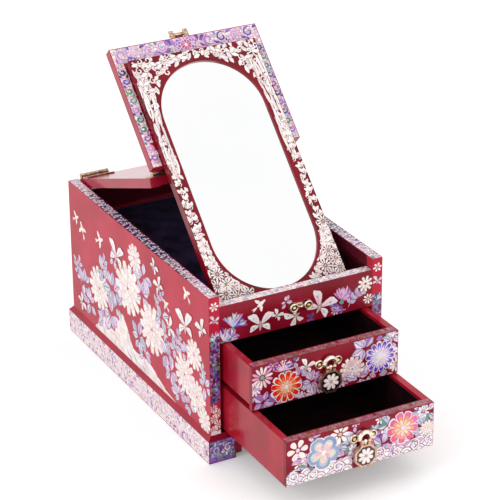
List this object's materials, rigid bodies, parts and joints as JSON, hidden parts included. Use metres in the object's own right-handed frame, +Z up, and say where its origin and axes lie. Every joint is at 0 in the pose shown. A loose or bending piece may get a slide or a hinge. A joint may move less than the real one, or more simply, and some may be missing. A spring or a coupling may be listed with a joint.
{
  "type": "vanity box with mirror",
  "caption": "Lacquered vanity box: a two-leaf lid folds back as a prop for a hinged mirror over a velvet tray, above drawers with pendant pulls.",
  "frame": {"origin": "on the ground, in the middle of the overall width and of the overall depth with both drawers pulled out as pictured", "axes": "+X to the right seen from the front, +Y from the drawers to the back, +Z up"},
  "size_m": [0.1772, 0.407, 0.3108],
  "materials": {
    "inlaid_lacquer": "gloss wine-red lacquer over wood, inlaid with mother-of-pearl",
    "plain_lacquer": "gloss wine-red lacquer over wood, plain",
    "inner_wood": "dark lacquered wood",
    "velvet": "dark blue velvet",
    "black_felt": "black felt lining",
    "brass": "pale antique brass, polished on the high spots",
    "mirror_glass": "silvered glass",
    "mirror_backing": "dark backing board",
    "enamel": "black enamel with an ivory flower"
  },
  "bodies": {
    "carcass": {"left_side": "inlaid_lacquer", "right_side": "inlaid_lacquer", "front_rail": "inlaid_lacquer", "back_panel": "plain_lacquer", "base_board": "inner_wood", "plinth_front": "inlaid_lacquer", "plinth_back": "plain_lacquer", "plinth_left": "inlaid_lacquer", "plinth_right": "inlaid_lacquer", "tray_floor": "inner_wood", "tray_velvet": "velvet", "ledge_left": "plain_lacquer", "ledge_right": "plain_lacquer", "tray_bead": "plain_lacquer", "mirror_rest": "plain_lacquer", "drawer_shelf": "inner_wood", "lower_runners": "inner_wood", "upper_guides": "inner_wood", "catch_plate": "brass", "catch_staple": "brass", "back_hinge_box_plates": "brass", "back_hinge_pins": "brass"},
    "rear_lid": {"rear_leaf": "inlaid_lacquer", "back_hinge_lid_plates": "brass", "mid_hinge_rear_plates": "brass", "mid_hinge_pins": "brass"},
    "front_lid": {"front_leaf_board": "inlaid_lacquer", "mid_hinge_front_plates": "brass", "mirror_hinge_posts": "brass", "mirror_hinge_pins": "brass", "hasp_plate": "brass", "hasp_pin": "brass"},
    "mirror": {"mirror_frame": "inlaid_lacquer", "mirror_glass": "mirror_glass", "mirror_back": "mirror_backing", "mirror_hinge_straps": "brass"},
    "hasp": {"hasp_arm": "brass"},
    "upper_drawer": {"upper_front": "inlaid_lacquer", "upper_left": "plain_lacquer", "upper_right": "plain_lacquer", "upper_back": "plain_lacquer", "upper_bottom": "inner_wood", "upper_felt": "black_felt", "upper_bow": "brass", "upper_pull_pin": "brass"},
    "upper_pull": {"upper_pendant": "brass", "upper_enamel": "enamel"},
    "lower_drawer": {"lower_front": "inlaid_lacquer", "lower_left": "plain_lacquer", "lower_right": "plain_lacquer", "lower_back": "plain_lacquer", "lower_bottom": "inner_wood", "lower_felt": "black_felt", "lower_bow": "brass", "lower_pull_pin": "brass"},
    "lower_pull": {"lower_pendant": "brass", "lower_enamel": "enamel"}
  },
  "joints": [
    {"name": "rear_lid_hinge", "type": "hinge", "parent": "carcass", "child": "rear_lid", "pos_m": [0, 0.2011, 0.1578], "axis": [-1, 0, 0], "range_deg": [0, 69]},
    {"name": "front_lid_hinge", "type": "hinge", "parent": "rear_lid", "child": "front_lid", "pos_m": [0, 0.04464, 0.21789], "axis": [1, 0, 0], "range_deg": [0, 114]},
    {"name": "mirror_hinge", "type": "hinge", "parent": "front_lid", "child": "mirror", "pos_m": [0, 0.10471, 0.29732], "axis": [-1, 0, 0], "range_deg": [0, 75]},
    {"name": "hasp_hinge", "type": "hinge", "parent": "front_lid", "child": "hasp", "pos_m": [0.002, 0.13303, 0.30714], "axis": [1, 0, 0], "range_deg": [-25, 90]},
    {"name": "upper_drawer_slide", "type": "slide", "parent": "carcass", "child": "upper_drawer", "axis": [0, -1, 0], "range_m": [-0.05, 0.11]},
    {"name": "upper_pull_hinge", "type": "hinge", "parent": "upper_drawer", "child": "upper_pull", "pos_m": [0.002, -0.1431, 0.0955], "axis": [-1, 0, 0], "range_deg": [0, 85]},
    {"name": "lower_drawer_slide", "type": "slide", "parent": "carcass", "child": "lower_drawer", "axis": [0, -1, 0], "range_m": [-0.1085, 0.06]},
    {"name": "lower_pull_hinge", "type": "hinge", "parent": "lower_drawer", "child": "lower_pull", "pos_m": [0.002, -0.2016, 0.053], "axis": [-1, 0, 0], "range_deg": [0, 85]}
  ],
  "couplings": [
    {"joint": "front_lid_hinge", "follows": "rear_lid_hinge", "ratio": 1.652}
  ]
}
